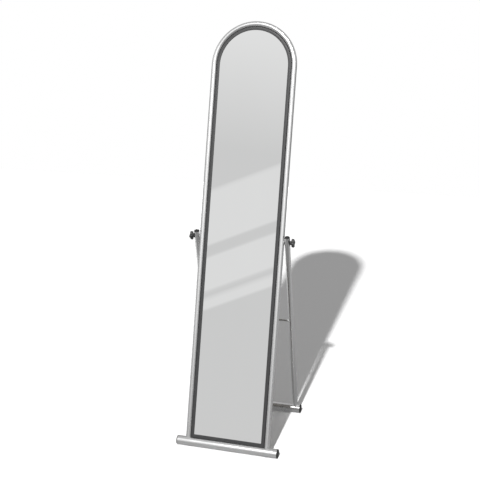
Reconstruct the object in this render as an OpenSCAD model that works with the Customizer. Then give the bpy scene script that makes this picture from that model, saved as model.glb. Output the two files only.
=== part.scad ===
// Floor-standing dressing mirror: an arched mirror panel in a bent steel tube that stands on a
// round foot bar and leans on a folding steel stand. Two star knobs clamp the stand's pivots.
// Millimetres. +Z is up, and the person who looks into the mirror stands at -Y.
// The origin is on the floor, in the middle of the standing mirror's width and depth.

/* [Mirror frame] */
// Outer width over the two upright tubes
frame_w = 312; // [260:1:350]
// Length along the frame from the foot bar's axis to the top of the arch
frame_len = 1508; // [1200:1:1800]
// Outer diameter of the bent frame tube
frame_d = 19; // [14:0.5:20]
// Wall of the bent frame tube
frame_wall = 1.2; // [0.8:0.1:1.6]
// Lean of the standing frame, in degrees from the vertical
lean = 18; // [10:0.5:24]

/* [Foot bars] */
// Outer diameter of the two foot bars
bar_d = 32; // [28:1:40]
// Wall of the foot bar tubes
bar_wall = 1.5; // [1:0.1:2]
// Overhang of a foot bar, with its end cap, past the outer side of a stand leg
bar_over = 11.5; // [11:0.5:60]
// Distance on the floor between the front and the rear foot bar, axis to axis
foot_spread = 332; // [280:1:450]

/* [Rear stand] */
// Outer diameter of the stand's leg tubes
leg_d = 19; // [16:0.5:20]
// Wall of the leg tubes
leg_wall = 1.2; // [0.8:0.1:1.6]
// Height of the pivots along the frame, above the foot bar's axis
pivot_up = 740; // [600:1:800]
// Gap between the frame tube and the leg tube, which the pivot spacer fills
pivot_gap = 1.5; // [1:0.1:4]
// Length of leg tube above the pivot
leg_over = 19; // [14:0.5:40]
// Diameter of the cross rod between the legs
rod_d = 8; // [5:0.5:12]
// Height of the cross rod along the legs, above the rear foot bar's axis
rod_up = 392; // [200:1:600]

/* [Mirror panel] */
// Thickness of the mirror glass
glass_t = 3; // [2:0.5:4]
// Thickness of the backing board
board_t = 3; // [2:0.5:4]
// Width of the dark edge gasket on the mirror's face
gasket_face = 12; // [8:0.5:20]
// Thickness of the gasket's two lips
gasket_lip = 1.5; // [1:0.1:2.5]
// Thickness of the gasket's outer wall
gasket_web = 2; // [1:0.1:3]
// Rounding of the gasket's edges
gasket_round = 0.7; // [0.2:0.1:0.7]
// Gasket's front face, forward of the frame tube's axis
gasket_front = 5.5; // [3:0.5:7]
// Gap left between the gasket and the tubes round it
gasket_gap = 0.1; // [0:0.05:0.5]
// Gap left between the gasket's outer wall and the edges of glass and board
panel_gap = 0.1; // [0.05:0.05:0.5]

/* [Panel tabs] */
// Rows of tabs that hold the panel from behind
tab_rows = 3; // [2:1:5]
// Lowest row of tabs, above the foot bar's axis
tab_low = 170; // [100:5:250]
// Distance of the highest row of tabs below the arch's centre
tab_drop = 106; // [40:1:200]
// Width of a tab along the tube
tab_w = 24; // [16:1:32]
// Thickness of a tab
tab_t = 1.5; // [1:0.1:2]
// Reach of a tab inwards from the frame tube's axis
tab_reach = 24; // [22:0.5:34]
// Rounding of a tab's corners
tab_round = 4; // [1:0.5:6]
// Distance of a tab's screw from the tab's inner end
tab_edge = 7; // [5:0.5:8]
// Shank diameter of the panel screws
screw_d = 3; // [2.5:0.1:3.5]
// Head diameter of the panel screws
screw_head_d = 6; // [5:0.5:8]
// Height of the domed screw heads
screw_head_h = 1.8; // [1.2:0.1:2.2]

/* [Pivot hardware] */
// Diameter of the clamp knobs' threaded studs
stud_d = 6; // [5:0.5:8]
// Running clearance round the studs, on the radius
stud_clearance = 0.08; // [0.03:0.01:0.1]
// Depth of stud thread in the frame tube's insert
stud_grip = 11; // [8:0.5:12]
// Outer diameter of the threaded inserts in the frame tube
insert_d = 9; // [8.5:0.5:11]
// Outer diameter of the saddle spacers between frame and leg
spacer_d = 15; // [12:0.5:18]
// Outer diameter of the loose washers under the knobs
washer_d = 14; // [11:0.5:18]
// Thickness of the loose washers
washer_t = 1.2; // [0.8:0.1:2]
// Gap left beside pieces that turn face to face
face_gap = 0.3; // [0.3:0.05:0.5]

/* [Clamp knobs] */
// Diameter over the knob's lobes
knob_d = 31; // [26:0.5:40]
// Number of lobes
knob_lobes = 4; // [3:1:6]
// Diameter of one lobe
lobe_d = 12; // [9:0.5:13]
// Thickness of the lobed head
knob_head_h = 9.5; // [7:0.5:14]
// Length of the neck between the head and the washer
knob_neck_h = 4.5; // [3:0.5:12]
// Diameter of the neck at the washer
knob_neck_d = 15; // [12:0.5:20]
// Narrowing of the neck in its middle, on the radius
knob_waist = 1.2; // [0:0.1:2]
// Rounding of the lobes' rims
knob_rim = 2.5; // [0.5:0.1:2.9]
// Depth of the hollow in the knob's outer face
knob_dish = 1.5; // [0.5:0.1:2.5]
// Depth of the moulded-in stud in the knob
stud_in_knob = 9; // [6:0.5:10]

/* [Foot joints] */
// Diameter of the bolts that hold the tubes on the foot bars
bolt_d = 6; // [5:0.5:7]
// Length of bolt thread in the tube's plug
bolt_grip = 20; // [12:1:30]
// Diameter of the bolt heads
bolt_head_d = 10; // [9:0.5:11]
// Height of the bolt heads
bolt_head_h = 6; // [4:0.5:6]
// Width across the flats of the bolts' hex sockets
bolt_key = 5; // [3:0.5:6]
// Clearance round the bolts, on the radius
bolt_clearance = 0.3; // [0.1:0.05:0.6]
// Diameter of the curved washers inside the foot bars
saddle_d = 14; // [12:0.5:14.5]
// Thickness of the curved washers at their middle
saddle_t = 3; // [2.5:0.1:4]
// Length of the threaded plugs, above the foot bar's surface
plug_len = 32; // [31:1:60]

/* [End caps] */
// Thickness of a foot bar cap's visible end
cap_t = 3; // [2:0.5:6]
// Rounding of the foot bar cap's edge
cap_round = 1.5; // [0.5:0.1:1.9]
// Height of a leg's domed top cap
dome_h = 5.5; // [5:0.5:10]
// Straight rim under the dome
dome_rim = 2; // [1:0.5:3]
// Depth of the caps' plugs in their tubes
spigot_len = 8; // [5:0.5:8]
// Wall of the caps' hollow plugs
spigot_wall = 2; // [1.2:0.1:2.5]
// Clearance of the plugs in their tubes, on the radius
spigot_clearance = 0.1; // [0:0.05:0.3]

/* [Hidden] */
$fn = 96;
eps = 0.01;

// Frame: the upright tubes' centre line, and where the arch begins
frame_x = (frame_w - frame_d) / 2;
arch_up = frame_len - frame_w / 2;

// Panel: radius of its rounded top, its lower edge, and its layers from back to front
panel_r = frame_w / 2 - frame_d - gasket_gap;
panel_low = bar_d / 2 + gasket_gap;
gasket_t = 2 * gasket_lip + glass_t + board_t;
gasket_back = gasket_front - gasket_t;
board_back = gasket_back + gasket_lip;
glass_back = board_back + board_t;

// Pivot in the standing mirror, then the stand's leg from it to the rear foot bar
pivot_y = pivot_up * sin(lean);
pivot_z = bar_d / 2 + pivot_up * cos(lean);
leg_rise = pivot_z - bar_d / 2;
leg_run = foot_spread - pivot_y;
leg_len = norm([leg_run, leg_rise]);
leg_slope = atan2(leg_run, leg_rise);
leg_x = frame_w / 2 + pivot_gap + leg_d / 2;
bar_len = 2 * (leg_x + leg_d / 2 + bar_over);

// Stack of pieces outside the leg: washer, then knob
washer_x = leg_x + leg_d / 2 + face_gap;
knob_x = washer_x + washer_t + face_gap;

// Lobed outline of the knob: lobe circles with a scallop tangent to each two neighbours
lobe_r = (knob_d - lobe_d) / 2;
lobe_step = 360 / knob_lobes;
scallop_d = lobe_d;
scallop_r = lobe_r * cos(lobe_step / 2)
  + sqrt(pow((lobe_d + scallop_d) / 2, 2) - pow(lobe_r * sin(lobe_step / 2), 2));

// Middle of the standing mirror's depth, which the origin sits on
arch_back = (frame_len - frame_d / 2) * sin(lean) + frame_d / 2;
stand_back = foot_spread + bar_d / 2;
y_mid = (max(arch_back, stand_back) - bar_d / 2) / 2;

// ---- Places ----

// Along the leaning frame: local z runs up the frame from the foot bar's axis, -y is its front
module on_frame() {
  translate([0, -y_mid, bar_d / 2]) rotate([-lean, 0, 0]) children();
}

// Along the stand: local z runs up the legs from the rear foot bar's axis
module on_stand() {
  translate([0, foot_spread - y_mid, bar_d / 2]) rotate([leg_slope, 0, 0]) children();
}

// On the pivots' common axis, with +x pointing out of the chosen side
module on_pivot(side) {
  translate([0, pivot_y - y_mid, pivot_z]) mirror([side < 0 ? 1 : 0, 0, 0]) children();
}

module both_sides() {
  for (m = [0, 1]) mirror([m, 0, 0]) children();
}

module along_x(d, from, to) {
  translate([from, 0, 0]) rotate([0, 90, 0]) cylinder(d = d, h = to - from);
}

// ---- Shapes that repeat ----

// Rectangle from the origin with all four corners rounded
module rounded_square(w, h, r) {
  translate([r, 0]) square([w - 2 * r, h]);
  translate([0, r]) square([w, h - 2 * r]);
  for (x = [r, w - r], y = [r, h - r]) translate([x, y]) circle(r = r);
}

// The bent tube's outline as a solid of the given diameter
module arch_rod(d) {
  both_sides() translate([frame_x, 0, 0]) cylinder(d = d, h = arch_up);
  translate([0, 0, arch_up]) rotate([90, 0, 0]) rotate_extrude(angle = 180)
    translate([frame_x, 0]) circle(d = d);
}

// A layer of the arched panel, inset from the panel's edge, between two depths
module panel_layer(inset, back, front) {
  r = panel_r - inset;
  translate([0, -back, 0]) rotate([90, 0, 0]) linear_extrude(front - back) {
    translate([0, arch_up]) circle(r = r);
    translate([-r, panel_low + inset]) square([2 * r, arch_up - panel_low - inset]);
  }
}

// A foot bar tube, with a bolt hole up and an access hole down at each upright
module foot_bar(upright_x) {
  half = bar_len / 2 - cap_t;
  difference() {
    along_x(bar_d, -half, half);
    along_x(bar_d - 2 * bar_wall, -half - eps, half + eps);
    both_sides() translate([upright_x, 0, 0]) {
      cylinder(d = bolt_d + 2 * bolt_clearance, h = bar_d);
      mirror([0, 0, 1]) cylinder(d = saddle_d + 2 * bolt_clearance, h = bar_d);
    }
  }
}

// Ribbed hollow plug that holds a cap in a tube of the given bore, downwards from z = 0
module cap_spigot(bore) {
  d = bore - 2 * spigot_clearance;
  translate([0, 0, -spigot_len]) difference() {
    cylinder(d = d, h = spigot_len);
    difference() {
      translate([0, 0, -eps]) cylinder(d = d - 2 * spigot_wall, h = spigot_len - spigot_wall / 2);
      for (a = [0, 90]) rotate(a) translate([-d / 2, -spigot_wall / 4, -eps])
        cube([d, spigot_wall / 2, spigot_len]);
    }
  }
}

// End cap of a foot bar, on the bar's end at x = bar_len / 2
module foot_cap() {
  translate([bar_len / 2 - cap_t, 0, 0]) rotate([0, 90, 0]) {
    rotate_extrude() difference() {
      square([bar_d / 2, cap_t]);
      translate([bar_d / 2 - cap_round, cap_t - cap_round]) difference() {
        square(cap_round + eps);
        circle(r = cap_round);
      }
    }
    cap_spigot(bar_d - 2 * bar_wall);
  }
}

// Threaded plug in the lower end of an upright tube, shaped to the foot bar it stands on
module tube_plug(bore) {
  difference() {
    cylinder(d = bore, h = bar_d / 2 + plug_len);
    cylinder(d = bolt_d, h = bar_d / 2 + plug_len + eps);
    along_x(bar_d, -bar_d, bar_d);
  }
}

// Curved washer against the inside of a foot bar's upper wall
module saddle_washer() {
  top = bar_d / 2 - bar_wall;
  intersection() {
    difference() {
      translate([0, 0, top - saddle_t]) cylinder(d = saddle_d, h = saddle_t);
      cylinder(d = bolt_d + 2 * bolt_clearance, h = bar_d);
    }
    along_x(2 * top, -bar_d, bar_d);
  }
}

// Socket head bolt from inside the foot bar into the plug above it
module foot_bolt() {
  seat = bar_d / 2 - bar_wall - saddle_t;
  difference() {
    union() {
      translate([0, 0, seat - bolt_head_h]) cylinder(d = bolt_head_d, h = bolt_head_h);
      translate([0, 0, seat]) cylinder(d = bolt_d, h = bar_d / 2 + bolt_grip - seat);
    }
    translate([0, 0, seat - bolt_head_h - eps])
      cylinder(d = bolt_key / cos(30), h = bolt_head_h / 2, $fn = 6);
  }
}

// ---- Mirror frame ----

module frame_tube() color("silver") on_frame() difference() {
  arch_rod(frame_d);
  arch_rod(frame_d - 2 * frame_wall);
  along_x(bar_d, -bar_len, bar_len);
  both_sides() translate([0, 0, pivot_up]) along_x(insert_d, frame_x, frame_w);
}

module front_foot_bar() color("silver") on_frame() foot_bar(frame_x);

module front_foot_caps() color("dimgray") on_frame() both_sides() foot_cap();

module frame_plugs() color("gray") on_frame() both_sides()
  translate([frame_x, 0, 0]) tube_plug(frame_d - 2 * frame_wall);

module frame_bolts() color("darkgray") on_frame() both_sides()
  translate([frame_x, 0, 0]) foot_bolt();

module frame_saddle_washers() color("gray") on_frame() both_sides()
  translate([frame_x, 0, 0]) saddle_washer();

// Threaded bush across the frame tube's bore, pressed into the tube's outer wall
module pivot_inserts() color("gray") on_frame() both_sides()
  translate([frame_x, 0, pivot_up]) difference() {
    union() {
      intersection() {
        along_x(insert_d, -frame_d, eps);
        cylinder(d = frame_d - 2 * frame_wall, h = 2 * insert_d, center = true);
      }
      intersection() {
        along_x(insert_d, 0, frame_d);
        cylinder(d = frame_d, h = 2 * insert_d, center = true);
      }
    }
    along_x(stud_d + 2 * stud_clearance, -frame_d, frame_d);
  }

// Spacer whose inner face fits round the frame tube
module pivot_spacers() color("lightgray") on_frame() both_sides() translate([0, 0, pivot_up])
  difference() {
    along_x(spacer_d, frame_x, frame_w / 2 + pivot_gap - face_gap);
    along_x(stud_d + 2 * stud_clearance, 0, frame_w);
    translate([frame_x, 0, -frame_d]) cylinder(d = frame_d, h = 2 * frame_d);
  }

// ---- Mirror panel ----

module mirror_glass() color("gainsboro") on_frame()
  panel_layer(gasket_web + panel_gap, glass_back, glass_back + glass_t);

module backing_board() color("tan") on_frame() difference() {
  panel_layer(gasket_web + panel_gap, board_back, board_back + board_t);
  at_tabs() screw_shank();
}

// The gasket's U section: x runs inwards from its outer edge, y forwards
module gasket_section() difference() {
  translate([0, gasket_back]) rounded_square(gasket_face, gasket_t, gasket_round);
  translate([gasket_web, board_back]) square([gasket_face, board_t + glass_t]);
}

// The bottom length's outline seen from the front, cut to mitres at both ends
module mitred_bottom() {
  top = panel_r - gasket_face;
  translate([0, -gasket_back + 1, 0]) rotate([90, 0, 0]) linear_extrude(gasket_t + 2) polygon([
    [-panel_r, panel_low], [panel_r, panel_low],
    [top, panel_low + gasket_face], [-top, panel_low + gasket_face]
  ]);
}

// One section run round the arch, down both sides and along the bottom
module edge_gasket() color("dimgray") on_frame() difference() {
  union() {
    translate([0, 0, arch_up]) rotate([90, 0, 0]) rotate_extrude(angle = 180)
      translate([panel_r, 0]) mirror([1, 0]) gasket_section();
    difference() {
      both_sides() translate([0, 0, panel_low]) linear_extrude(arch_up - panel_low)
        translate([panel_r, 0]) rotate(180) gasket_section();
      mitred_bottom();
    }
    intersection() {
      translate([-panel_r, 0, panel_low]) rotate([90, 0, 90]) linear_extrude(2 * panel_r)
        rotate(90) gasket_section();
      mitred_bottom();
    }
  }
  at_tabs() screw_shank();
}

// Each tab's place: its screw's axis on the back of the gasket, for the right-hand tube
module at_tabs() {
  rise = (arch_up - tab_drop - tab_low) / (tab_rows - 1);
  both_sides() for (i = [0 : tab_rows - 1])
    translate([frame_x - tab_reach + tab_edge, -gasket_back, tab_low + i * rise]) children();
}

// Shank of a panel screw, from under its head to near the board's front
module screw_shank() {
  rotate([90, 0, 0]) translate([0, 0, -tab_t])
    cylinder(d = screw_d, h = tab_t + gasket_lip + board_t - screw_d / 4);
}

module panel_tabs() color("silver") on_frame() difference() {
  at_tabs() translate([-tab_edge, tab_t, -tab_w / 2]) rotate([90, 0, 0])
    linear_extrude(tab_t) rounded_square(tab_reach, tab_w, tab_round);
  at_tabs() screw_shank();
  arch_rod(frame_d);
}

module panel_screws() color("gray") on_frame() at_tabs() {
  screw_shank();
  head_r = (pow(screw_head_d / 2, 2) + pow(screw_head_h, 2)) / (2 * screw_head_h);
  intersection() {
    translate([0, tab_t + screw_head_h - head_r, 0]) sphere(r = head_r);
    translate([0, tab_t, 0]) rotate([-90, 0, 0]) cylinder(d = screw_head_d, h = screw_head_h);
  }
}

// ---- Rear stand ----

module leg() {
  on_stand() difference() {
    translate([leg_x, 0, 0]) cylinder(d = leg_d, h = leg_len + leg_over);
    translate([leg_x, 0, -eps]) cylinder(d = leg_d - 2 * leg_wall, h = leg_len + leg_over + 1);
    along_x(bar_d, 0, bar_len);
    translate([0, 0, leg_len]) along_x(stud_d + 2 * stud_clearance, 0, bar_len);
  }
}

module leg_right() color("silver") leg();

module leg_left() color("silver") mirror([1, 0, 0]) leg();

// Domed cap in the top of each leg
module leg_top_caps() color("dimgray") on_stand() both_sides()
  translate([leg_x, 0, leg_len + leg_over]) {
    crown = dome_h - dome_rim;
    dome_r = (pow(leg_d / 2, 2) + pow(crown, 2)) / (2 * crown);
    cylinder(d = leg_d, h = dome_rim);
    intersection() {
      translate([0, 0, dome_h - dome_r]) sphere(r = dome_r);
      translate([0, 0, dome_rim]) cylinder(d = leg_d, h = dome_h);
    }
    cap_spigot(leg_d - 2 * leg_wall);
  }

module rear_foot_bar() color("silver") on_stand() foot_bar(leg_x);

module rear_foot_caps() color("dimgray") on_stand() both_sides() foot_cap();

// Rod welded between the legs, its ends shaped to them
module cross_rod() color("silver") on_stand() difference() {
  translate([0, 0, rod_up]) along_x(rod_d, -leg_x, leg_x);
  both_sides() translate([leg_x, 0, 0]) cylinder(d = leg_d, h = leg_len);
}

module leg_plugs() color("gray") on_stand() both_sides()
  translate([leg_x, 0, 0]) tube_plug(leg_d - 2 * leg_wall);

module leg_bolts() color("darkgray") on_stand() both_sides()
  translate([leg_x, 0, 0]) foot_bolt();

module leg_saddle_washers() color("gray") on_stand() both_sides()
  translate([leg_x, 0, 0]) saddle_washer();

// ---- Clamp knobs ----

module loose_washer(side) color("dimgray") on_pivot(side) difference() {
  along_x(washer_d, washer_x, washer_x + washer_t);
  along_x(stud_d + 2 * stud_clearance, 0, bar_len);
}

// Star outline: the polygon joins lobe and scallop centres, so its sides meet both circles
// where they are tangent
module star_outline() {
  for (i = [0 : knob_lobes - 1]) rotate(i * lobe_step) translate([lobe_r, 0]) circle(d = lobe_d);
  difference() {
    polygon([for (i = [0 : 2 * knob_lobes - 1])
      let (r = i % 2 == 0 ? lobe_r : scallop_r, a = i * lobe_step / 2) [r * cos(a), r * sin(a)]]);
    for (i = [0 : knob_lobes - 1])
      rotate((i + 0.5) * lobe_step) translate([scallop_r, 0]) circle(d = scallop_d);
  }
}

// Moulded star knob with a waisted neck, a dished outer face and a stud in its middle
module star_knob(side) color("dimgray") on_pivot(side)
  translate([knob_x, 0, 0]) rotate([0, 90, 0]) difference() {
    union() {
      rotate_extrude() polygon([
        [0, 0], [knob_neck_d / 2, 0], [knob_neck_d / 2 - knob_waist, knob_neck_h / 2],
        [knob_neck_d / 2, knob_neck_h], [0, knob_neck_h]
      ]);
      translate([0, 0, knob_neck_h]) intersection() {
        linear_extrude(knob_head_h) star_outline();
        rotate_extrude() intersection() {
          translate([-knob_d / 2, 0]) rounded_square(knob_d, knob_head_h, knob_rim);
          square([knob_d, knob_head_h]);
        }
      }
    }
    dish_r = (pow(knob_neck_d / 2, 2) + pow(knob_dish, 2)) / (2 * knob_dish);
    translate([0, 0, knob_neck_h + knob_head_h - knob_dish + dish_r]) sphere(r = dish_r);
    translate([0, 0, -eps]) cylinder(d = stud_d, h = stud_in_knob + eps);
  }

module stud(side) color("gray") on_pivot(side)
  along_x(stud_d, frame_w / 2 - stud_grip, knob_x + stud_in_knob);

module washer_left() loose_washer(-1);

module washer_right() loose_washer(1);

module knob_left() star_knob(-1);

module knob_right() star_knob(1);

module stud_left() stud(-1);

module stud_right() stud(1);

frame_tube();
front_foot_bar();
front_foot_caps();
frame_plugs();
frame_bolts();
frame_saddle_washers();
pivot_inserts();
pivot_spacers();
mirror_glass();
backing_board();
edge_gasket();
panel_tabs();
panel_screws();
leg_left();
leg_right();
leg_top_caps();
rear_foot_bar();
rear_foot_caps();
cross_rod();
leg_plugs();
leg_bolts();
leg_saddle_washers();
washer_left();
washer_right();
knob_left();
knob_right();
stud_left();
stud_right();
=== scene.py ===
# A full-length floor mirror on a folding stand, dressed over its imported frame. Metres, +Z up,
# and the person who looks into the mirror stands at -Y.
import math

import bpy
import bmesh
import numpy as np
from mathutils import Matrix, Vector


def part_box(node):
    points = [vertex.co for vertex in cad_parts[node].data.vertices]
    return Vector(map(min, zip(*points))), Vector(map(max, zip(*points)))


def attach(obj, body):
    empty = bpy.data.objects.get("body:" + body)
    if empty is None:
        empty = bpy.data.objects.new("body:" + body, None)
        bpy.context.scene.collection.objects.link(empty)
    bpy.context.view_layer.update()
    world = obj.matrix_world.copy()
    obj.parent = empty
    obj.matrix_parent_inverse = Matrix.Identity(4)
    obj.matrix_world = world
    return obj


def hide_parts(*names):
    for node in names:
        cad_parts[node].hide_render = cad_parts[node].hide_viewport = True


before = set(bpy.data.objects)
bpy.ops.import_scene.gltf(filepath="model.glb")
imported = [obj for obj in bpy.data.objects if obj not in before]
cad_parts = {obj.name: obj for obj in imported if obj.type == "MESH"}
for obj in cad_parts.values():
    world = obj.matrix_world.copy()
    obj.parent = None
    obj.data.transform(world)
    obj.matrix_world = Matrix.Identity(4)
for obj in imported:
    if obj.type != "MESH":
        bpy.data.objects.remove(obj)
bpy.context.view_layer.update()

# ---- View ----
# The photograph's view: a little to the right of the mirror, well above it, with the camera
# leaning slightly. The place and the focal length come from the edges of the standing mirror.
VIEW_AZIMUTH = math.radians(17.845)
VIEW_DOWN = math.radians(18.791)
VIEW_ROLL = math.radians(-1.409)
VIEW_PLACE = (0.9492, -2.9671, 1.777)
SENSOR = 36.0
FOCAL_PIXELS = 929.9
FRAME_PIXELS = 480

camera = bpy.data.objects.new("camera", bpy.data.cameras.new("camera"))
bpy.context.collection.objects.link(camera)
camera.data.sensor_width = SENSOR
camera.data.lens = SENSOR * FOCAL_PIXELS / FRAME_PIXELS
camera.data.clip_end = 100
camera.matrix_world = (
    Matrix.Translation(VIEW_PLACE)
    @ Matrix.Rotation(VIEW_AZIMUTH, 4, "Z")
    @ Matrix.Rotation(math.pi / 2 - VIEW_DOWN, 4, "X")
    @ Matrix.Rotation(VIEW_ROLL, 4, "Z")
)
bpy.context.scene.camera = camera
bpy.context.scene.view_settings.view_transform = "Standard"

# ---- Studio lamp ----
# One lamp on a high stand in front of the mirror, far enough for an even light. It throws the
# mirror's shadow straight back, a little wider at its tip, with a soft edge.
LAMP_PLACE = (0.235, -5.9, 6.65)
LAMP_RADIUS = 0.12
LAMP_POWER = 39.0


class Shader:
    """Nodes of a material, world or lamp written as calls. node() adds one node: settings are
    its own properties, other words are inputs by name, and in0, in1 are inputs by number."""

    def __init__(self, owner):
        owner.use_nodes = True
        self.tree = owner.node_tree
        self.tree.nodes.clear()

    def put(self, socket, value):
        if isinstance(value, bpy.types.NodeSocket):
            self.tree.links.new(value, socket)
        elif socket.type == "RGBA":
            tone = value if isinstance(value, tuple) else (value,) * 3
            socket.default_value = (*tone, 1)
        else:
            socket.default_value = value

    def node(self, kind, output=0, settings=None, **inputs):
        made = self.tree.nodes.new("ShaderNode" + kind)
        for key, value in (settings or {}).items():
            setattr(made, key, value)
        for key, value in inputs.items():
            known = int(key[2:]) if key[:2] == "in" else key.replace("_", " ")
            self.put(made.inputs[known], value)
        return made.outputs[output] if len(made.outputs) else made

    def math(self, operation, *values):
        made = self.tree.nodes.new("ShaderNodeMath")
        made.operation = operation
        for socket, value in zip(made.inputs, values):
            self.put(socket, value)
        return made.outputs[0]

    def ramp(self, value, *stops):
        """Tone against value, straight between the stops (place, tone)."""
        made = self.tree.nodes.new("ShaderNodeValToRGB")
        elements = made.color_ramp.elements
        elements.remove(elements[-1])
        for i, (place, tone) in enumerate(stops):
            element = elements[0] if i == 0 else elements.new(place)
            element.position = place
            element.color = (*(tone if isinstance(tone, tuple) else (tone,) * 3), 1)
        self.put(made.inputs[0], value)
        return made.outputs[0]

    def mix(self, share, a, b, blend="MIX"):
        made = self.tree.nodes.new("ShaderNodeMix")
        made.data_type = "RGBA"
        made.blend_type = blend
        for socket, value in ((made.inputs[0], share), (made.inputs[6], a), (made.inputs[7], b)):
            self.put(socket, value)
        return made.outputs[2]


lamp = bpy.data.objects.new("lamp", bpy.data.lights.new("lamp", "POINT"))
bpy.context.collection.objects.link(lamp)
lamp.location = LAMP_PLACE
lamp.data.shadow_soft_size = LAMP_RADIUS
lamp.data.energy = LAMP_POWER
glow = Shader(lamp.data)
even = glow.node("LightFalloff", output="Constant", Strength=1.0)
glow.node("OutputLight", Surface=glow.node("Emission", Strength=even))

# ---- Studio walls ----
# A pale room. Metal sees it bright in front and overhead, and darker low down and behind; the
# mirror glass looks at a grey card on the front wall, with slanting light streaks across it.
ROOM_LIGHT = 0.27
WALL_BY_HEIGHT = ((-10, 0.42), (4, 0.48), (8, 0.56), (12, 0.9), (17, 1.06), (24, 1.04),
                  (38, 0.66), (56, 0.7), (72, 0.5), (90, 0.5))
WALL_BY_SIDE = ((-180, 0.42), (-125, 0.5), (-90, 0.74), (-58, 1.0), (-30, 1.0), (22, 1.0),
                (44, 1.0), (68, 0.85), (90, 0.62), (180, 0.42))
CEILING = (35, 65)
CARD_GREY = 0.64
CARD_TOP = 0.80
CARD_SIDES = ((-25, 0.0), (-23.5, 1.0), (-12, 1.0), (-10.5, 0.0))
CARD_END = (30, 33)
CARD_GLOW = (21, 28)
STREAK = 0.76
STREAK_DIM = 0.635
STREAK_SLOPE = 0.475
STREAK_SOFT = 0.0015
STREAK_LOW = 0.3696
STREAK_HIGH = 0.5240
THIN_GAP = (0.3812, 0.3855, 0.3903, 0.3918)
WIDE_GAP = (0.4362, 0.4506)

world = bpy.data.worlds.new("studio")
bpy.context.scene.world = world
room = Shader(world)
axes = room.tree.nodes.new("ShaderNodeSeparateXYZ")
room.put(axes.inputs[0], room.node("TexCoord"))
right, away, up = axes.outputs
ahead = room.math("MULTIPLY", away, -1.0)
side_share = room.math("MULTIPLY_ADD", room.math("ARCTAN2", right, ahead), 0.5 / math.pi, 0.5)
up_share = room.math("MULTIPLY_ADD", room.math("ARCSINE", up), 1 / math.pi, 0.5)


def sideways(degrees):
    """Share of the turn round the mirror, where 0 degrees is straight ahead of its face."""
    return 0.5 + degrees / 360


def upwards(degrees):
    """Share of the half turn from straight down to straight up."""
    return 0.5 + degrees / 180


by_height = room.ramp(up_share, *[(upwards(angle), tone) for angle, tone in WALL_BY_HEIGHT])
by_side = room.ramp(side_share, *[(sideways(angle), tone) for angle, tone in WALL_BY_SIDE])
above = room.ramp(up_share, (upwards(CEILING[0]), 0.0), (upwards(CEILING[1]), 1.0))
walls = room.mix(1.0, by_height, room.mix(above, by_side, 1.0), "MULTIPLY")

slant = room.math("MULTIPLY", room.math("DIVIDE", right, ahead), STREAK_SLOPE)
streak_height = room.math("SUBTRACT", room.math("DIVIDE", up, ahead), slant)
card = room.ramp(
    streak_height,
    (STREAK_LOW - STREAK_SOFT, CARD_GREY), (STREAK_LOW + STREAK_SOFT, STREAK),
    *zip(THIN_GAP, (STREAK, STREAK_DIM, STREAK_DIM, STREAK)),
    (WIDE_GAP[0] - STREAK_SOFT, STREAK), (WIDE_GAP[0] + STREAK_SOFT, STREAK_DIM),
    (WIDE_GAP[1] - STREAK_SOFT, STREAK_DIM), (WIDE_GAP[1] + STREAK_SOFT, STREAK),
    (STREAK_HIGH - STREAK_SOFT, STREAK), (STREAK_HIGH + STREAK_SOFT, CARD_GREY))
top_glow = room.ramp(up_share, (upwards(CARD_GLOW[0]), 0.0), (upwards(CARD_GLOW[1]), 1.0))
card = room.mix(top_glow, card, CARD_TOP)
card_width = room.ramp(side_share, *[(sideways(angle), share) for angle, share in CARD_SIDES])
card_height = room.ramp(up_share, (upwards(CARD_END[0]), 1.0), (upwards(CARD_END[1]), 0.0))
seen_in_metal = room.mix(room.mix(1.0, card_width, card_height, "MULTIPLY"), walls, card)

rays = room.tree.nodes.new("ShaderNodeLightPath").outputs
light = room.mix(rays["Is Glossy Ray"], ROOM_LIGHT, seen_in_metal)
light = room.mix(rays["Is Transmission Ray"], light, 1.0)
light = room.mix(rays["Is Camera Ray"], light, 1.0)
room.node("OutputWorld", Surface=room.node("Background", Color=light))

# ---- Studio floor ----
# A pale matt sheet, seen a shade brighter, most at the back, so that it meets the white room
# without an edge. Metal sees it grey, with painted shade and light set by place: darkest close
# behind the mirror, a painted shadow, and well in front, a painted shade for the front foot bar
# to reflect; palest far off on the left, a painted light, and darker on the right, a painted
# shade. The pairs below are distances from the origin in metres.
FLOOR_SIDE = 3.5
FLOOR_FRONT = -4.0
FLOOR_BACK = 3.2
FLOOR_PALE = 0.8
FLOOR_SEEN = 1.16
FLOOR_SEEN_FAR = 1.7
FLOOR_BRIGHTENS = 2.0
METAL_FRONT = 0.24
METAL_BEHIND_SHADOW = 0.12
METAL_LEFT = 0.68
METAL_RIGHT = 0.3
FRONT_SHADE_SHARE = 0.25
FRONT_TO_BEHIND = (-0.2, 0.0)
LEFT_TO_RIGHT = (-0.5, -0.15)
CLOSE_TO_FAR = (0.4, 1.4)
DIM_TO_FULL = (-0.65, -0.28)
FLOOR_CLOUD = 3.0
FLOOR_PAINTED_GLOW = 0.18

floor_mesh = bpy.data.meshes.new("floor")
floor_mesh.from_pydata(
    [(x, y, 0) for x, y in ((-FLOOR_SIDE, FLOOR_FRONT), (FLOOR_SIDE, FLOOR_FRONT),
                            (FLOOR_SIDE, FLOOR_BACK), (-FLOOR_SIDE, FLOOR_BACK))],
    [], [(0, 1, 2, 3)])
floor = bpy.data.objects.new("floor", floor_mesh)
bpy.context.collection.objects.link(floor)
floor_mesh.materials.append(bpy.data.materials.new("floor_sheet"))
sheet = Shader(floor_mesh.materials[0])
rays = sheet.tree.nodes.new("ShaderNodeLightPath").outputs
spot = sheet.node("TexCoord", output="Object")
across = sheet.node("SeparateXYZ", Vector=spot)
depth = sheet.node("SeparateXYZ", output=1, Vector=spot)
reach = sheet.node("VectorMath", output="Value", in0=spot, settings={"operation": "LENGTH"})


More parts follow.
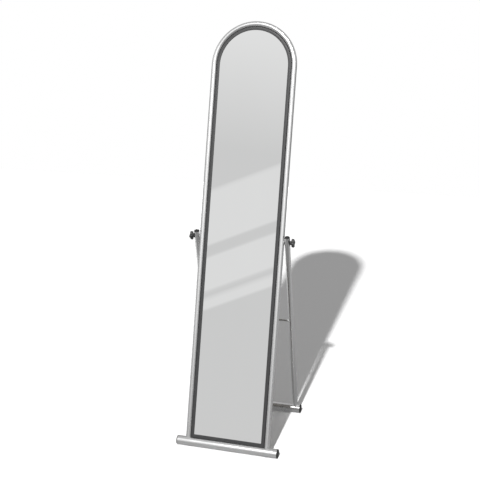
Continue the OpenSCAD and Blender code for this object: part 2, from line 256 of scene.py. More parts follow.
def between(distance, low, high):
    """Share of the way from the low distance to the high one, in metres on the floor."""
    return sheet.math("MULTIPLY_ADD", distance, 1 / (high - low), -low / (high - low))


cloud = sheet.node("TexNoise", Vector=spot, Scale=FLOOR_CLOUD)
tone = sheet.ramp(cloud, (0.3, FLOOR_PALE * 0.99), (0.7, FLOOR_PALE))
# Painted shade and light, seen only in metal: dark close behind the mirror for its shadow, pale on
# the left for lit floor, dark on the right for shade.
close = sheet.ramp(between(depth, *FRONT_TO_BEHIND), (0.0, METAL_FRONT), (1.0, METAL_BEHIND_SHADOW))
far = sheet.ramp(between(across, *LEFT_TO_RIGHT), (0.0, METAL_LEFT), (1.0, METAL_RIGHT))
distant = sheet.ramp(between(reach, *CLOSE_TO_FAR), (0.0, 0.0), (1.0, 1.0))
shade_painted_in_metal = sheet.mix(distant, close, far)
# Painted shade: the floor as metal sees it is dimmed well in front, where the front foot bar
# reflects it.
front = sheet.ramp(between(depth, *DIM_TO_FULL), (0.0, FRONT_SHADE_SHARE), (1.0, 1.0))
shade_painted_in_metal = sheet.mix(1.0, shade_painted_in_metal, front, "MULTIPLY")
tone = sheet.mix(rays["Is Glossy Ray"], tone, shade_painted_in_metal)
back = between(depth, FLOOR_BRIGHTENS, FLOOR_BACK)
seen = sheet.ramp(back, (0.0, FLOOR_SEEN), (1.0, FLOOR_SEEN_FAR))
tone = sheet.mix(rays["Is Camera Ray"], tone, seen)
matt = sheet.node("BsdfDiffuse", Color=tone)
# Painted light: an emission that only metal sees, which lifts the floor it reflects where that
# floor lies in shade.
shade = sheet.math("MULTIPLY", rays["Is Glossy Ray"], FLOOR_PAINTED_GLOW)
painted_glow = sheet.node("Emission", Strength=shade)
sheet.node("OutputMaterial", Surface=sheet.node("AddShader", in0=matt, in1=painted_glow))

# ---- Frame tube ----
# The hoop round the mirror: 19 mm steel tube bent to a half circle at the top, its two ends cut
# to saddles that stand on the front foot bar. Blasted and coated with satin silver powder.
BAR_RADIUS = 0.016
LEAN = math.radians(18)
TUBE_RADIUS = 0.0095
TUBE_WALL = 0.0012
HOOP_X = 0.1465
ARCH_UP = 1.352
ROUND_STEPS = 64
UPRIGHT_STEPS = 9
ARCH_STEPS = 129


def bar_axis(node):
    """Middle of a foot bar's round section."""
    low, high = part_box(node)
    return 0.0, (low[1] + high[1]) / 2, (low[2] + high[2]) / 2


on_frame = Matrix.Translation(bar_axis("front_foot_bar")) @ Matrix.Rotation(-LEAN, 4, "X")


def placed(points, matrix):
    """Points carried from a piece's own axes into the room: turned, then shifted."""
    turn = np.array(matrix.to_3x3())
    return points @ turn.T + np.array(matrix.translation)


def steps(points):
    """Running distance along a grid's first direction, averaged over the second."""
    stride = np.linalg.norm(np.diff(points, axis=0), axis=2).mean(axis=1)
    return np.concatenate([[0.0], np.cumsum(stride)])


def skin(name, *grids, sharp=50):
    """One mesh from closed grids of points. Cell (i, j) of a grid is the face between rows
    i, i+1 and columns j, j+1; seams and poles are welded; each grid is turned so that its
    enclosed volume is positive. The UV map holds metres along the rows and round the columns."""
    corners, faces, maps, first = [], [], [], 0
    for grid in grids:
        a, b, c, d = grid[:-1, :-1], grid[1:, :-1], grid[1:, 1:], grid[:-1, 1:]
        volume = (np.cross(a, b) * c).sum() + (np.cross(a, c) * d).sum()
        grid = grid if volume > 0 else grid[:, ::-1]
        rows, columns = grid.shape[:2]
        number = first + np.arange(rows * columns).reshape(rows, columns)
        quads = np.stack([number[:-1, :-1], number[1:, :-1], number[1:, 1:], number[:-1, 1:]], 2)
        length = np.broadcast_to(steps(grid)[:, None], (rows, columns))
        girth = np.broadcast_to(steps(grid.swapaxes(0, 1))[None, :], (rows, columns))
        uv = np.stack([length, girth], 2).reshape(-1, 2)
        quads = quads.reshape(-1, 4)
        corners.append(grid.reshape(-1, 3))
        faces.append(quads)
        maps.append(uv[quads.ravel() - first])
        first += rows * columns
    corners, faces, maps = np.concatenate(corners), np.concatenate(faces), np.concatenate(maps)
    mesh = bpy.data.meshes.new(name)
    mesh.vertices.add(len(corners))
    mesh.vertices.foreach_set("co", corners.astype(np.float32).ravel())
    mesh.loops.add(faces.size)
    mesh.loops.foreach_set("vertex_index", faces.astype(np.int32).ravel())
    mesh.polygons.add(len(faces))
    mesh.polygons.foreach_set("loop_start", np.arange(0, faces.size, 4, dtype=np.int32))
    mesh.uv_layers.new(name="run").data.foreach_set("uv", maps.astype(np.float32).ravel())
    mesh.update(calc_edges=True)
    work = bmesh.new()
    work.from_mesh(mesh)
    bmesh.ops.remove_doubles(work, verts=work.verts, dist=2e-6)
    bmesh.ops.dissolve_degenerate(work, edges=work.edges, dist=1e-7)
    work.to_mesh(mesh)
    work.free()
    mesh.polygons.foreach_set("use_smooth", np.ones(len(mesh.polygons), dtype=bool))
    mesh.set_sharp_from_angle(angle=math.radians(sharp))
    piece = bpy.data.objects.new(name, mesh)
    bpy.context.collection.objects.link(piece)
    return piece


def hoop_wall(radius):
    """The tube's skin at a radius: up the right upright, over the arch, down the left one.
    Place = path centre + radius * (cos a * outward + sin a * forward). An upright starts where
    that line meets the foot bar, at the root of bar radius squared less depth squared."""
    a = np.linspace(0, 2 * math.pi, ROUND_STEPS + 1)
    out, ahead = radius * np.cos(a), radius * np.sin(a)
    foot = np.sqrt(BAR_RADIUS ** 2 - ahead ** 2)
    rise = np.linspace(0, 1, UPRIGHT_STEPS)[:, None]
    upright = np.stack([
        np.broadcast_to(HOOP_X + out, (UPRIGHT_STEPS, ROUND_STEPS + 1)),
        np.broadcast_to(-ahead, (UPRIGHT_STEPS, ROUND_STEPS + 1)),
        foot + (ARCH_UP - foot) * rise], 2)
    bend = np.linspace(0, math.pi, ARCH_STEPS)[1:-1, None]
    arch = np.stack([
        (HOOP_X + out) * np.cos(bend),
        np.broadcast_to(-ahead, (ARCH_STEPS - 2, ROUND_STEPS + 1)),
        ARCH_UP + (HOOP_X + out) * np.sin(bend)], 2)
    return np.concatenate([upright, arch, upright[::-1] * (-1, 1, 1)])


outer, inner = hoop_wall(TUBE_RADIUS), hoop_wall(TUBE_RADIUS - TUBE_WALL)
hoop = skin("frame_hoop", placed(np.concatenate([outer, inner[::-1], outer[:1]]), on_frame))


def silver_powder(name, along=None):
    """Satin silver powder coat: a metal-flake base, an orange-peel skin about 1.5 mm across,
    dull patches from handling, and fine scuffs drawn out along the tube where it has a run."""
    material = bpy.data.materials.new(name)
    coat = Shader(material)
    place = coat.node("TexCoord", output="Object")
    flake = coat.node("TexVoronoi", output="Color", Vector=place, Scale=2600.0)
    flake = coat.node("SeparateColor", Color=flake)
    patch = coat.node("TexNoise", Vector=place, Scale=9.0, Detail=4.0)
    peel = coat.node("TexNoise", Vector=place, Scale=620.0, Detail=2.0)
    tone = coat.ramp(flake, (0.0, 0.74), (1.0, 0.86))
    tone = coat.mix(coat.ramp(patch, (0.35, 0.0), (0.75, 0.35)), tone, (0.76, 0.76, 0.765))
    gloss = coat.ramp(patch, (0.3, 0.22), (0.75, 0.30))
    if along:
        run = coat.node("Mapping", Vector=coat.node("TexCoord", output="UV"), Scale=along)
        scuff = coat.node("TexNoise", Vector=run, Scale=1.0, Detail=5.0, Roughness=0.6)
        worn = coat.ramp(scuff, (0.60, 0.0), (0.72, 0.5))
        gloss = coat.mix(worn, gloss, 0.38)
    skin_bump = coat.node("Bump", Height=peel, Strength=0.06, Distance=0.0004)
    surface = coat.node("BsdfPrincipled", Base_Color=tone, Metallic=1.0, Roughness=gloss,
                        Normal=skin_bump)
    coat.node("OutputMaterial", Surface=surface)
    return material


hoop.data.materials.append(silver_powder("silver_hoop", along=(14.0, 420.0, 1.0)))
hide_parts("frame_tube")
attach(hoop, "mirror_frame")

# ---- Front foot bar ----
# A plain 32 mm tube across the floor, in the same silver coat. A bolt goes up through it into
# each upright, and its head is reached through a hole underneath.
silver = silver_powder("silver_coat")


def dress(material, *names):
    """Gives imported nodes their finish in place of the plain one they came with."""
    for name in names:
        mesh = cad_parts[name].data
        mesh.materials.clear()
        mesh.materials.append(material)


dress(silver, "front_foot_bar")

# ---- Foot bolts, plugs and curved washers ----
# Zinc-plated steel: threaded plugs pressed into the uprights' lower ends, socket bolts from
# inside the bars, and washers curved to the bars' inner walls.


def zinc_plate(name):
    """Bright zinc: bluish grey steel with a cloudy passivated skin and fine tool lines."""
    material = bpy.data.materials.new(name)
    coat = Shader(material)
    place = coat.node("TexCoord", output="Object")
    cloud = coat.node("TexNoise", Vector=place, Scale=160.0, Detail=5.0)
    lines = coat.node("TexNoise", Vector=place, Scale=2200.0, Detail=2.0)
    tone = coat.ramp(cloud, (0.3, (0.50, 0.51, 0.53)), (0.7, (0.68, 0.69, 0.70)))
    gloss = coat.ramp(cloud, (0.3, 0.36), (0.7, 0.24))
    relief = coat.node("Bump", Height=lines, Strength=0.08, Distance=0.0002)
    surface = coat.node("BsdfPrincipled", Base_Color=tone, Metallic=1.0, Roughness=gloss,
                        Normal=relief)
    coat.node("OutputMaterial", Surface=surface)
    return material


zinc = zinc_plate("zinc_plate")
dress(zinc, "frame_plugs", "frame_bolts", "frame_saddle_washers", "pivot_inserts",
      "leg_plugs", "leg_bolts", "leg_saddle_washers")

# ---- Foot caps ----
# Black moulded plugs in both ends of each foot bar: a round end with a raised rim and a shallow
# hollow, on a ribbed spigot that grips the bar's bore.
BAR_HALF = 0.188
CAP_END = 0.003
CAP_ROUND = 0.0015
CAP_SPIGOT = 0.008
CAP_RIM = 0.0032
CAP_HOLLOW = 0.0007
CAP_EDGE = 0.0004
PUSH_FIT = 0.0001
BAR_WALL = 0.0015


def turned(profile, matrix, steps_round=ROUND_STEPS):
    """A turned shape: profile rows (radius, height) swung about the matrix's own Z axis.
    Place = (radius * cos a, radius * sin a, height)."""
    a = np.linspace(0, 2 * math.pi, steps_round + 1)
    radius, height = np.array(profile).T[:, :, None]
    grid = np.stack([radius * np.cos(a), radius * np.sin(a), height + 0 * a], 2)
    return placed(grid, matrix)


def quarter(centre, radius, start, stop, count=6):
    """Profile points on an arc, from one angle to another in degrees."""
    a = np.radians(np.linspace(start, stop, count))
    return [(centre[0] + radius * math.cos(t), centre[1] + radius * math.sin(t)) for t in a]


def foot_cap_profile():
    """From the spigot's hidden end, out over the flange and its round edge, across the raised
    rim, down into the hollow of the face, whose depth falls with the square of the radius."""
    spigot = BAR_RADIUS - BAR_WALL - PUSH_FIT
    rim = BAR_RADIUS - CAP_RIM
    brink = rim - 0.0006
    hollow = [(brink - t * brink, CAP_END - CAP_HOLLOW + 0.0004 * t * t)
              for t in np.linspace(0, 1, 9)]
    return ([(0, -CAP_SPIGOT), (spigot - 0.0008, -CAP_SPIGOT), (spigot, -CAP_SPIGOT + 0.0012),
             (spigot, 0)]
            + quarter((BAR_RADIUS - CAP_EDGE, CAP_EDGE), CAP_EDGE, -90, 0, 4)
            + quarter((BAR_RADIUS - CAP_ROUND, CAP_END - CAP_ROUND), CAP_ROUND, 0, 90, 8)
            + quarter((rim, CAP_END - CAP_EDGE), CAP_EDGE, 90, 150, 4) + hollow)


def end_of_bar(axis, side):
    """Axes at a bar's end: own Z points out of the bar, to the given side."""
    shift = Matrix.Translation((side * (BAR_HALF - CAP_END), axis[1], axis[2]))
    return shift @ Matrix.Rotation(side * math.pi / 2, 4, "Y")


def black_moulding(name, tone, gloss, grain):
    """Black injection-moulded plastic: a fine spark-eroded grain, faint flow marks in the
    colour and lighter rubbed patches."""
    material = bpy.data.materials.new(name)
    mould = Shader(material)
    place = mould.node("TexCoord", output="Object")
    flow = mould.node("TexNoise", Vector=place, Scale=70.0, Detail=4.0)
    fine = mould.node("TexNoise", Vector=place, Scale=grain, Detail=3.0)
    colour = mould.ramp(flow, (0.3, tone * 0.8), (0.7, tone * 1.25))
    dull = mould.ramp(fine, (0.3, gloss * 0.85), (0.7, gloss * 1.15))
    relief = mould.node("Bump", Height=fine, Strength=0.16, Distance=0.0003)
    surface = mould.node("BsdfPrincipled", Base_Color=colour, Roughness=dull, Normal=relief)
    mould.node("OutputMaterial", Surface=surface)
    return material


cap_black = black_moulding("cap_plastic", 0.010, 0.52, 1900.0)
for name, node, body in (("front_caps", "front_foot", "mirror_frame"),
                         ("rear_caps", "rear_foot", "rear_stand")):
    axis = bar_axis(node + "_bar")
    caps = skin(name, *[turned(foot_cap_profile(), end_of_bar(axis, side)) for side in (-1, 1)])
    caps.data.materials.append(cap_black)
    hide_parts(node + "_caps")
    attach(caps, body)

# ---- Mirror glass ----
# 3 mm float glass, silvered on its back, cut to the arch. Wiped clean: only a trace of haze
# softens what it shows.


def silvered_glass(name):
    """A front of clean silvered glass: near-perfect gloss with faint wiped smears."""
    material = bpy.data.materials.new(name)
    silvering = Shader(material)
    place = silvering.node("TexCoord", output="Object")
    stretched = silvering.node("Mapping", Vector=place, Scale=(5.0, 5.0, 1.6))
    smear = silvering.node("TexNoise", Vector=stretched, Scale=1.0, Detail=5.0, Distortion=0.6)
    tone = silvering.ramp(smear, (0.35, (0.915, 0.92, 0.918)), (0.75, (0.925, 0.93, 0.928)))
    haze = silvering.ramp(smear, (0.45, 0.004), (0.8, 0.02))
    surface = silvering.node("BsdfPrincipled", Base_Color=tone, Metallic=1.0, Roughness=haze)
    silvering.node("OutputMaterial", Surface=surface)
    return material


dress(silvered_glass("mirror_silver"), "mirror_glass")

# ---- Backing board ----
# 3 mm hardboard behind the glass, sealed grey-brown, with the screen pattern that pressing
# leaves on its back. The panel screws go through the gasket into it.


def pressed_board(name):
    """Hardboard: matted fibres in the colour, and a wire-screen relief 1.3 mm across, made
    of two crossed sine waves, cut along the leaning panel."""
    material = bpy.data.materials.new(name)
    board = Shader(material)
    place = board.node("Mapping", Vector=board.node("TexCoord", output="Object"),
                       Rotation=(LEAN, 0.0, 0.0))
    fibre = board.node("TexNoise", Vector=place, Scale=240.0, Detail=6.0, Distortion=1.2)
    mottle = board.node("TexNoise", Vector=place, Scale=14.0, Detail=5.0)
    tone = board.ramp(fibre, (0.35, (0.235, 0.215, 0.195)), (0.65, (0.335, 0.315, 0.29)))
    tone = board.mix(board.ramp(mottle, (0.4, 0.0), (0.7, 0.4)), tone, (0.29, 0.27, 0.245))
    rows = board.node("TexWave", Vector=place, Scale=245.0,
                      settings={"bands_direction": "X", "wave_profile": "SIN"})
    columns = board.node("TexWave", Vector=place, Scale=245.0,
                         settings={"bands_direction": "Z", "wave_profile": "SIN"})
    screen = board.math("MULTIPLY", board.node("SeparateColor", Color=rows),
                        board.node("SeparateColor", Color=columns))
    height = board.math("ADD", screen, board.math("MULTIPLY", fibre, 0.8))
    relief = board.node("Bump", Height=height, Strength=0.35, Distance=0.0004)
    surface = board.node("BsdfPrincipled", Base_Color=tone, Roughness=0.62, Normal=relief)
    board.node("OutputMaterial", Surface=surface)
    return material


dress(pressed_board("hardboard"), "backing_board")

# ---- Edge gasket ----
# A dark grey extruded profile of U section, pushed over the edges of the glass and the board
# together. It runs round the arch in one length, and its bottom length is mitred to it.
GASKET_OUT = 0.1369
GASKET_LOW = 0.0161
GASKET_FRONT = 0.0055
GASKET_BACK = -0.0035
GASKET_LIP = 0.0015
GASKET_FACE = 0.012
GASKET_WEB = 0.002
GASKET_ROUND = 0.0012
GASKET_CROWN = 0.00025
GROOVES = (0.0032, 0.0097)
GROOVE_DEPTH = 0.0002
GROOVE_WIDTH = 0.0006


def gasket_section():
    """The U's outline as rows (distance in from the outer edge, depth forwards): round outer
    edges, a gently crowned front with two drawn grooves, thinned lips, and the slot."""
    d = np.linspace(GASKET_ROUND, GASKET_FACE - 0.0014, 25)
    across = (d - d[0]) / (d[-1] - d[0])
    groove = sum(GROOVE_DEPTH * np.exp(-((d - at) / GROOVE_WIDTH) ** 2) for at in GROOVES)
    front = GASKET_FRONT - GASKET_CROWN * (2 * across - 1) ** 2 - groove
    middle = (GASKET_ROUND, GASKET_FRONT - 0.00145)
    rounded = quarter(middle, GASKET_ROUND, 180, 100)
    lip_end = GASKET_FRONT - GASKET_LIP
    lip = [(GASKET_FACE - 0.0006, GASKET_FRONT - 0.00045), (GASKET_FACE - 0.0001, lip_end + 0.0005),
           (GASKET_FACE, lip_end + 0.0002), (GASKET_FACE - 0.0003, lip_end)]
    slot_back = GASKET_BACK + GASKET_LIP
    slot = [(GASKET_WEB, lip_end), (GASKET_WEB, slot_back), (GASKET_FACE - 0.0004, slot_back)]
    back = [(GASKET_FACE, slot_back - 0.0004), (GASKET_FACE - 0.0001, GASKET_BACK + 0.0005),
            (GASKET_FACE - 0.0007, GASKET_BACK), (0.0008, GASKET_BACK),
            (0.0002, GASKET_BACK + 0.0003), (0.0, GASKET_BACK + 0.0009)]
    return np.array(rounded + list(zip(d, front)) + lip + slot + back + rounded[:1])


def gasket_grid():
    """The section carried round the panel. At each station a point lies at base + inset *
    direction: sideways on the straight runs, towards the arch's centre on the arch, and along
    the mitre, sideways and up together, at the two bottom corners."""
    bend = np.linspace(0, math.pi, 145)
    climb = np.linspace(GASKET_LOW + 0.03, ARCH_UP, 8)[:-1]
    right_run = np.stack([np.full(7, GASKET_OUT), climb, np.full(7, -1.0), np.zeros(7)], 1)
    arch = np.stack([GASKET_OUT * np.cos(bend), ARCH_UP + GASKET_OUT * np.sin(bend),
                     -np.cos(bend), -np.sin(bend)], 1)
    left_run = right_run[::-1] * (-1, 1, -1, 1)
    corner = np.array([[GASKET_OUT, GASKET_LOW, -1.0, 1.0]])
    stations = np.concatenate([corner, right_run, arch, left_run, corner * (-1, 1, -1, 1),
                               corner])
    inset, depth = gasket_section().T
    x, z, dx, dz = stations.T[:, :, None]
    return np.stack([x + dx * inset, -depth + 0 * x, z + dz * inset], 2)


def drawn_rubber(name):
    """Extruded flexible plastic: satin dark grey, with die lines some tenths of a millimetre
    wide that run along it, and a little pale dust."""
    material = bpy.data.materials.new(name)
    extrusion = Shader(material)
    run = extrusion.node("TexCoord", output="UV")
    lines = extrusion.node("TexNoise", Scale=1.0, Detail=4.0,
                           Vector=extrusion.node("Mapping", Vector=run, Scale=(6.0, 2400.0, 1.0)))
    cloud = extrusion.node("TexNoise", Scale=60.0, Detail=5.0,
                           Vector=extrusion.node("TexCoord", output="Object"))
    tone = extrusion.ramp(lines, (0.3, (0.026, 0.026, 0.027)), (0.7, (0.034, 0.034, 0.035)))
    tone = extrusion.mix(extrusion.ramp(cloud, (0.5, 0.0), (0.8, 0.2)), tone, 0.045)
    gloss = extrusion.ramp(lines, (0.3, 0.44), (0.7, 0.54))
    relief = extrusion.node("Bump", Height=lines, Strength=0.08, Distance=0.0002)
    surface = extrusion.node("BsdfPrincipled", Base_Color=tone, Roughness=gloss, Normal=relief)
    extrusion.node("OutputMaterial", Surface=surface)
    return material


gasket = skin("edge_profile", placed(gasket_grid(), on_frame), sharp=40)
gasket.data.materials.append(drawn_rubber("gasket_rubber"))
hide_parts("edge_gasket")
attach(gasket, "mirror_frame")

# ---- Panel tabs and their welds ----
# Six 1.5 mm steel tabs behind the panel, each welded to the frame tube with one short bead
# before coating, so tab, bead and tube share the silver skin.
TAB_ROWS = (0.170, 0.708, 1.246)
TAB_BACK = 0.005
WELD_RADIUS = 0.0016
WELD_HALF = 0.0095
WELD_SUNK = 0.0003
RIPPLE = 0.0014
RIPPLE_SWELL = 0.07

dress(silver, "panel_tabs")


def tab_weld(side, up):
    """A bead along the tube where a tab's back meets it. Its radius swells with the welder's
    ripple, 1 + cosine of the run over the ripple's pitch, and closes to a point at both ends."""
    t = np.linspace(-1, 1, 97)[:, None]
    a = np.linspace(0, 2 * math.pi, 21)
    wave = np.cos(2 * math.pi * (t * WELD_HALF) / RIPPLE + 0.5 * np.sin(a))
    swell = 1 + RIPPLE_SWELL * wave
    radius = WELD_RADIUS * np.sqrt(np.clip(1 - t ** 8, 0, 1)) * swell
    meet = math.sqrt(TUBE_RADIUS ** 2 - TAB_BACK ** 2)
    x = HOOP_X - meet - WELD_SUNK + radius * np.cos(a)
    y = TAB_BACK + 0.0001 + 0.85 * radius * np.sin(a)
    z = up + t * WELD_HALF + 0 * a
    return placed(np.stack([side * x, y, z], 2), on_frame)


tab_welds = skin("tab_welds", *[tab_weld(side, up) for side in (-1, 1) for up in TAB_ROWS])
tab_welds.data.materials.append(silver)
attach(tab_welds, "mirror_frame")

# ---- Panel screws ----
# Zinc-plated screws with domed heads and cross recesses, through the tabs and the gasket into
# the board.
SCREW_X = 0.1295
HEAD_RADIUS = 0.003
HEAD_HEIGHT = 0.0018
SHANK_RADIUS = 0.0015
SHANK_LENGTH = 0.0052
SLOT_HALF = 0.00042
SLOT_SLOPE = 0.00012
SLOT_REACH = 0.0019
SLOT_END = 0.0004
SLOT_DEPTH = 0.0011


def screw_grid(side, up):
    """Dome height = cap of a sphere over the head's radius, less the recess: a cross whose
    floor falls where the smaller of |x|, |y| is under half the slot's width, out to its ends.
    Behind the head come its flat seat and the plain shank."""
    r = np.linspace(0, HEAD_RADIUS, 31)[:, None]
    a = np.linspace(0, 2 * math.pi, 97)
    ball = (HEAD_RADIUS ** 2 + HEAD_HEIGHT ** 2) / (2 * HEAD_HEIGHT)
    dome = HEAD_HEIGHT - ball + np.sqrt(ball ** 2 - r ** 2)
    arm = np.minimum(np.abs(r * np.cos(a)), np.abs(r * np.sin(a)))
    inside = np.clip((SLOT_HALF - arm) / SLOT_SLOPE, 0, 1)
    wall = inside * np.clip((SLOT_REACH - r) / SLOT_END, 0, 1)
    fall = np.clip(1.15 - r / 0.0022, 0, 1)
    height = dome - SLOT_DEPTH * wall * (3 - 2 * wall) * wall * fall
    head = np.stack([r * np.cos(a), r * np.sin(a), height + 0 * a], 2)
    tail = [(HEAD_RADIUS, 0.0), (SHANK_RADIUS, 0.0), (SHANK_RADIUS, -SHANK_LENGTH + 0.0006),
            (0.0004, -SHANK_LENGTH), (0.0, -SHANK_LENGTH)]
    radius, drop = np.array(tail).T[:, :, None]
    shank = np.stack([radius * np.cos(a), radius * np.sin(a), drop + 0 * a], 2)
    place = on_frame @ Matrix.Translation((side * SCREW_X, TAB_BACK, up))
    place = place @ Matrix.Rotation(-math.pi / 2, 4, "X") @ Matrix.Rotation(side * 0.4 + up, 4, "Z")
    return placed(np.concatenate([head, shank]), place)


screws = skin("cross_screws", *[screw_grid(side, up) for side in (-1, 1) for up in TAB_ROWS])
screws.data.materials.append(zinc)
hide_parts("panel_screws")
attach(screws, "mirror_frame")

# ---- Rear stand: legs, cross rod and foot bar ----
# Two 19 mm legs and a 32 mm foot bar in the silver coat, bolted as the frame is, with an 8 mm
# rod welded between the legs. The stand swings on the pivots behind the mirror.
FOOT_SPREAD = 0.332
PIVOT_UP = 0.740
LEG_X = 0.167
LEG_RADIUS = 0.0095
LEG_OVER = 0.019
ROD_RADIUS = 0.004
ROD_UP = 0.392
ROD_BEAD = 0.0013
ROD_RIPPLES = 18

leg_rise = PIVOT_UP * math.cos(LEAN)
leg_run = FOOT_SPREAD - PIVOT_UP * math.sin(LEAN)
leg_length = math.hypot(leg_rise, leg_run)
on_stand = (Matrix.Translation(bar_axis("rear_foot_bar"))
            @ Matrix.Rotation(math.atan2(leg_run, leg_rise), 4, "X"))
dress(silver, "leg_left", "leg_right", "cross_rod", "rear_foot_bar")


def rod_weld(side):
    """A rippled ring round each end of the rod. Its centre line follows the line where the rod
    meets the leg: x = leg centre less the root of leg radius squared less y squared."""
    t = np.linspace(0, 2 * math.pi, 97)[:, None]
    a = np.linspace(0, 2 * math.pi, 17)
    ring = ROD_RADIUS + WELD_SUNK
    y, z = ring * np.cos(t), ring * np.sin(t)
    x = LEG_X - np.sqrt(LEG_RADIUS ** 2 - y ** 2) - WELD_SUNK
    radius = ROD_BEAD * (1 + 0.08 * np.cos(ROD_RIPPLES * t + 0.6 * np.sin(a)))
    reach = 1 + radius * np.cos(a) / ring
    grid = np.stack([side * (x + radius * np.sin(a)), y * reach, ROD_UP + z * reach], 2)
    return placed(grid, on_stand)


rod_welds = skin("rod_welds", rod_weld(-1), rod_weld(1))
rod_welds.data.materials.append(silver)
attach(rod_welds, "rear_stand")

# ---- Leg top caps ----
# Black moulded caps with a low dome and a fine line round their rims. A short spigot on each
# is pushed into the open top of its leg.
DOME = 0.0055
DOME_RIM = 0.002
DOME_SPIGOT = 0.008
LEG_WALL = 0.0012


def leg_cap_profile():
    """From the spigot's end, out under the rim, up its side and over the dome, a cap of a
    sphere that is blended into the rim by a small round."""
    spigot = LEG_RADIUS - LEG_WALL - PUSH_FIT
    crown = DOME - DOME_RIM
    ball = (LEG_RADIUS ** 2 + crown ** 2) / (2 * crown)
    r = np.linspace(LEG_RADIUS - 0.0012, 0, 14)
    dome = zip(r, DOME - ball + np.sqrt(ball ** 2 - r ** 2))
    return ([(0, -DOME_SPIGOT), (spigot - 0.0006, -DOME_SPIGOT), (spigot, -0.007), (spigot, 0)]
            + quarter((LEG_RADIUS - 0.0003, 0.0003), 0.0003, -90, 0, 3)
            + [(LEG_RADIUS, 0.0008), (LEG_RADIUS - 0.0002, 0.00095), (LEG_RADIUS, 0.0011),
               (LEG_RADIUS, DOME_RIM - 0.0004), (LEG_RADIUS - 0.0001, DOME_RIM + 0.0001),
               (LEG_RADIUS - 0.0004, DOME_RIM + 0.0004)]
            + list(dome))


tops = [on_stand @ Matrix.Translation((side * LEG_X, 0, leg_length + LEG_OVER))
        for side in (-1, 1)]
leg_caps = skin("leg_caps", *[turned(leg_cap_profile(), top, 48) for top in tops])
leg_caps.data.materials.append(cap_black)
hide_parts("leg_top_caps")
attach(leg_caps, "rear_stand")

# ---- Pivot spacers and washers ----
# A grey moulded saddle keeps each leg clear of the frame tube, and a black nylon washer lies
# between each leg and its knob.
dress(black_moulding("spacer_plastic", 0.30, 0.45, 1500.0), "pivot_spacers")
PIVOT_X = 0.1765
FACE_GAP = 0.0003
WASHER_THICK = 0.0012
WASHER_RADIUS = 0.007
WASHER_SOFT = 0.00025
STUD_RADIUS = 0.003
BORE_GAP = 0.00008

pivot = on_frame @ Vector((0, 0, PIVOT_UP))


def on_pivot(side, x):
    """Axes on the pivots' line at a distance from the middle: own Z points outwards."""
    return Matrix.Translation((side * x, pivot.y, pivot.z)) @ Matrix.Rotation(
        side * math.pi / 2, 4, "Y")


def washer_profile():
    """A closed loop round the washer's section, with its edges softened."""
    bore, soft = STUD_RADIUS + BORE_GAP, WASHER_SOFT
    inner, outer, top = bore + soft, WASHER_RADIUS - soft, WASHER_THICK
    loop = (quarter((inner, soft), soft, 180, 270, 4) + quarter((outer, soft), soft, 270, 360, 4)
            + quarter((outer, top - soft), soft, 0, 90, 4)
            + quarter((inner, top - soft), soft, 90, 180, 4))
    return loop + loop[:1]


knob_black = black_moulding("knob_plastic", 0.035, 0.36, 1300.0)
for side, hand in ((-1, "left"), (1, "right")):
    washer = skin(hand + "_nylon_washer",
                  turned(washer_profile(), on_pivot(side, PIVOT_X + FACE_GAP), 48))
    washer.data.materials.append(knob_black)
    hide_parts("washer_" + hand)
    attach(washer, hand + "_washer")

# ---- Clamp studs ----
# M6 zinc-plated studs moulded into the knobs. Each goes through washer, leg and spacer into a
# threaded insert in the frame tube.
STUD_FROM = 0.145
STUD_IN_KNOB = 0.009
THREAD_PITCH = 0.001
THREAD_DEPTH = 0.00045
THREAD_SUNK = 0.0002
THREAD_FADE = 0.0008
KNOB_X = PIVOT_X + 2 * FACE_GAP + WASHER_THICK


def stud_grid(side):
    """A thread: radius = stud radius less its depth times a triangle wave of height over
    pitch less the angle's share of a turn. It fades out at both ends, which close to points."""
    length = KNOB_X + STUD_IN_KNOB - STUD_FROM
    h = np.linspace(0, length, int(length / THREAD_PITCH * 6) + 1)[:, None]
    a = np.linspace(0, 2 * math.pi, 33)
    wave = np.abs(((h / THREAD_PITCH - a / (2 * math.pi)) % 1) * 2 - 1)
    ends = np.clip(np.minimum(h, length - h) / THREAD_FADE, 0, 1)
    radius = STUD_RADIUS - THREAD_SUNK - THREAD_DEPTH * wave * ends - 0.0004 * (1 - ends)
    x, y = radius * np.cos(a), radius * np.sin(a)
    grid = np.stack([x, y, h + 0 * a], 2)
    tip = np.broadcast_to([[0, 0, 0.0]], (1, 33, 3))
    grid = np.concatenate([tip, grid, tip + (0, 0, length)])
    return placed(grid, on_pivot(side, STUD_FROM))


for side, hand in ((-1, "left"), (1, "right")):
    stud = skin(hand + "_threaded_stud", stud_grid(side), sharp=75)
    stud.data.materials.append(zinc)
    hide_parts("stud_" + hand)
    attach(stud, hand + "_knob")

# ---- Clamp knobs ----
# Four-lobed black knobs, moulded in one piece on their studs: a waisted neck, a head with
# rounded lobes, and a shallow dish in the outer face with the mould's gate mark in its middle.
NECK_RADIUS = 0.0075
NECK_WAIST = 0.0012
NECK_LENGTH = 0.0045
NECK_FLARE = 0.0012
HEAD_THICK = 0.0095
KNOB_RADIUS = 0.0155
LOBE_RADIUS = 0.006
LOBES = 4
RIM_ROUND = 0.0025
UNDER_ROUND = 0.0018
DISH = 0.0015
GATE_RADIUS = 0.0014
GATE_HEIGHT = 0.0004
GATE_SLOPE = 0.0003
FLAT_EDGE = 0.86
OUTLINE_STEPS = 192


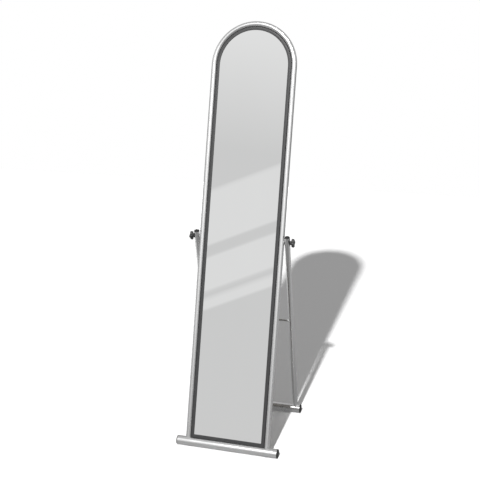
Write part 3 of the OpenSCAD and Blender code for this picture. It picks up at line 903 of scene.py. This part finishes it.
def star_outline(inset):
    """Radius against angle. Near a lobe it is where the ray leaves the lobe's circle, c cos d
    + root(r^2 - c^2 sin^2 d); between lobes it is where it meets the scallop's circle, which
    touches both. Each point then moves in along the outline's normal by the inset."""
    a = np.linspace(0, 2 * math.pi, OUTLINE_STEPS + 1)
    half = math.pi / LOBES
    c = KNOB_RADIUS - LOBE_RADIUS
    far = c * math.cos(half) + math.sqrt(4 * LOBE_RADIUS ** 2 - (c * math.sin(half)) ** 2)
    touch = math.atan2(far * math.sin(half), c + far * math.cos(half))
    d = (a + half) % (2 * half) - half
    gap = half - np.abs(d)
    lobe = c * np.cos(d) + np.sqrt(np.clip(LOBE_RADIUS ** 2 - (c * np.sin(d)) ** 2, 0, None))
    scallop = far * np.cos(gap) - np.sqrt(
        np.clip(LOBE_RADIUS ** 2 - (far * np.sin(gap)) ** 2, 0, None))
    radius = np.where(np.abs(d) < touch, lobe, scallop)
    x, y = radius * np.cos(a), radius * np.sin(a)
    dx = np.roll(x[:-1], -1) - np.roll(x[:-1], 1)
    dy = np.roll(y[:-1], -1) - np.roll(y[:-1], 1)
    norm = np.hypot(dx, dy)
    nx, ny = np.append(dy / norm, dy[0] / norm[0]), np.append(-dx / norm, -dx[0] / norm[0])
    return np.stack([x - inset * nx, y - inset * ny], 1)


def knob_grid(side):
    """Rings up the knob: a round neck that narrows by a sine at its waist, the underside
    spreading from neck to star, the star's rounded edges and its side, then the face drawn in
    to the middle, with the dish's depth falling as one less the squared share of its radius."""
    a = np.linspace(0, 2 * math.pi, OUTLINE_STEPS + 1)
    circle = np.stack([np.cos(a), np.sin(a)], 1)
    rings = [(0 * circle, 0.0)]
    for t in np.linspace(0, 1, 11):
        flare = NECK_FLARE * max(0.0, (t - 0.8) / 0.2) ** 2
        radius = NECK_RADIUS - NECK_WAIST * math.sin(math.pi * t) + flare
        rings.append((radius * circle, t * NECK_LENGTH))
    under = star_outline(UNDER_ROUND)
    for t in (0.35, 0.7, 1.0):
        rings.append(((1 - t) * (NECK_RADIUS + NECK_FLARE) * circle + t * under, NECK_LENGTH))
    for angle in np.radians(np.linspace(15, 90, 6)):
        rings.append((star_outline(UNDER_ROUND * (1 - math.sin(angle))),
                      NECK_LENGTH + UNDER_ROUND * (1 - math.cos(angle))))
    top = NECK_LENGTH + HEAD_THICK
    for angle in np.radians(np.linspace(0, 90, 9)):
        rings.append((star_outline(RIM_ROUND * (1 - math.cos(angle))),
                      top - RIM_ROUND + RIM_ROUND * math.sin(angle)))
    face = star_outline(RIM_ROUND)
    for t in (0.93, FLAT_EDGE):
        rings.append((t * face, top))
    inner = FLAT_EDGE * face
    grid = np.stack([np.column_stack([ring, np.full(len(ring), h)]) for ring, h in rings])
    share = np.linspace(0, 1, 28)[1:, None, None]
    plan = (1 - share) * ((1 - share) * inner + share * NECK_RADIUS * circle)
    radius = np.linalg.norm(plan, axis=2)
    within = np.clip(1 - (radius / NECK_RADIUS) ** 2, 0, 1)
    gate = GATE_HEIGHT * np.clip((GATE_RADIUS - radius) / GATE_SLOPE, 0, 1)
    dished = np.concatenate([plan, (top - DISH * within + gate)[:, :, None]], 2)
    return placed(np.concatenate([grid, dished]), on_pivot(side, KNOB_X))


for side, hand in ((-1, "left"), (1, "right")):
    knob = skin(hand + "_star_knob", knob_grid(side), sharp=60)
    knob.data.materials.append(knob_black)
    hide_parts("knob_" + hand)
    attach(knob, hand + "_knob")
